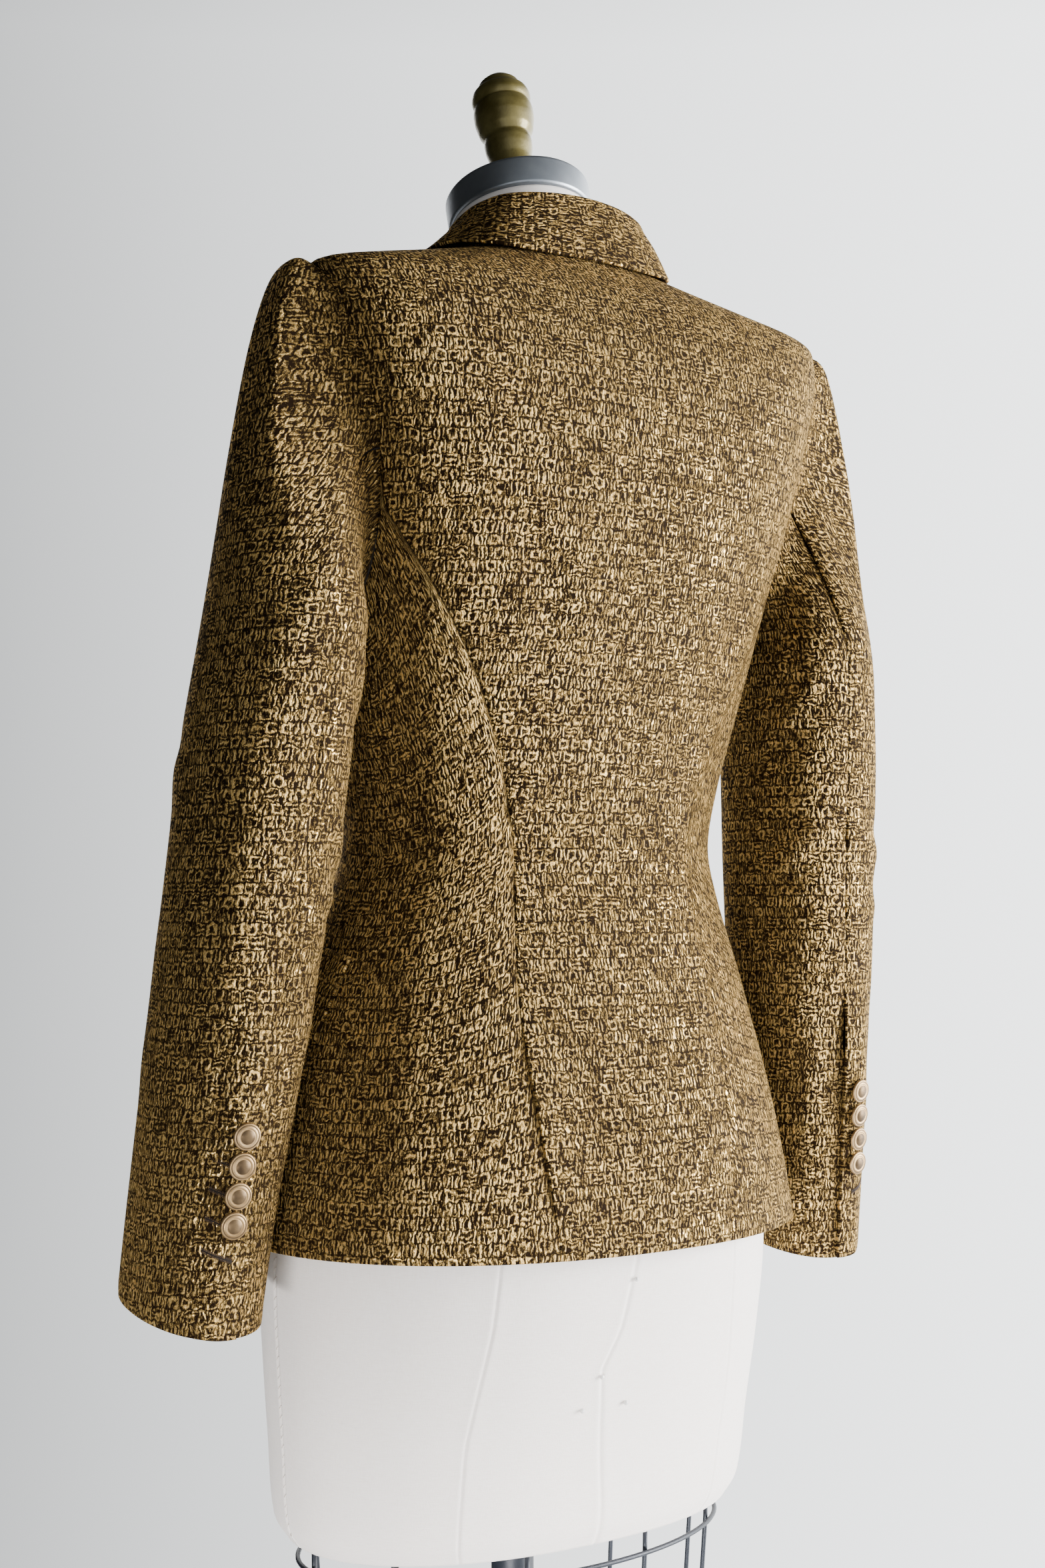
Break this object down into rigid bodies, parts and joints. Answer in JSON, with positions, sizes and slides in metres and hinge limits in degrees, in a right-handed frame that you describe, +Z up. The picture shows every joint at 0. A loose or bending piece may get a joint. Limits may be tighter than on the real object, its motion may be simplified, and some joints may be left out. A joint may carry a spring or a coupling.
{
  "type": "blazer on a dress form",
  "caption": "Tailored single-breasted blazer of woven gold cloth with notched lapels, slanted flap pockets and buttoned cuffs, on a linen limbless dress form with pole and base",
  "frame": {"origin": "on the floor, at the middle of the base's flat underside, on the pole's axis", "axes": "+Z up along the pole, the form's front faces -Y, its left is +X"},
  "size_m": [0.5298, 0.4, 1.6238],
  "materials": {
    "gold_cloth": "woven metallic gold and dark brown thread",
    "linen": "plain off-white linen",
    "cap_steel": "brushed",
    "finial_paint": "antique gold paint",
    "button_metal": "pale gold, polished",
    "dark_iron": "satin black enamel"
  },
  "bodies": {
    "root": {"back": "gold_cloth", "side_left": "gold_cloth", "side_right": "gold_cloth", "front_left": "gold_cloth", "front_right": "gold_cloth", "lapel_left": "gold_cloth", "lapel_right": "gold_cloth", "collar": "gold_cloth", "sleeve_upper_left": "gold_cloth", "sleeve_upper_right": "gold_cloth", "sleeve_under_left": "gold_cloth", "sleeve_under_right": "gold_cloth", "flap_left": "gold_cloth", "flap_right": "gold_cloth", "cuff_button_left_1": "button_metal", "cuff_button_left_2": "button_metal", "cuff_button_left_3": "button_metal", "cuff_button_left_4": "button_metal", "cuff_button_right_1": "button_metal", "cuff_button_right_2": "button_metal", "cuff_button_right_3": "button_metal", "cuff_button_right_4": "button_metal", "front_button_1": "button_metal", "front_button_2": "button_metal", "torso": "linen", "neck_cap": "cap_steel", "finial": "finial_paint", "pole": "dark_iron", "base": "dark_iron", "cage_hoop_1": "dark_iron", "cage_hoop_2": "dark_iron", "cage_wire_1": "dark_iron", "cage_wire_2": "dark_iron", "cage_wire_3": "dark_iron", "cage_wire_4": "dark_iron", "cage_wire_5": "dark_iron", "cage_wire_6": "dark_iron", "cage_wire_7": "dark_iron", "cage_wire_8": "dark_iron", "cage_wire_9": "dark_iron", "cage_wire_10": "dark_iron"}
  },
  "joints": []
}
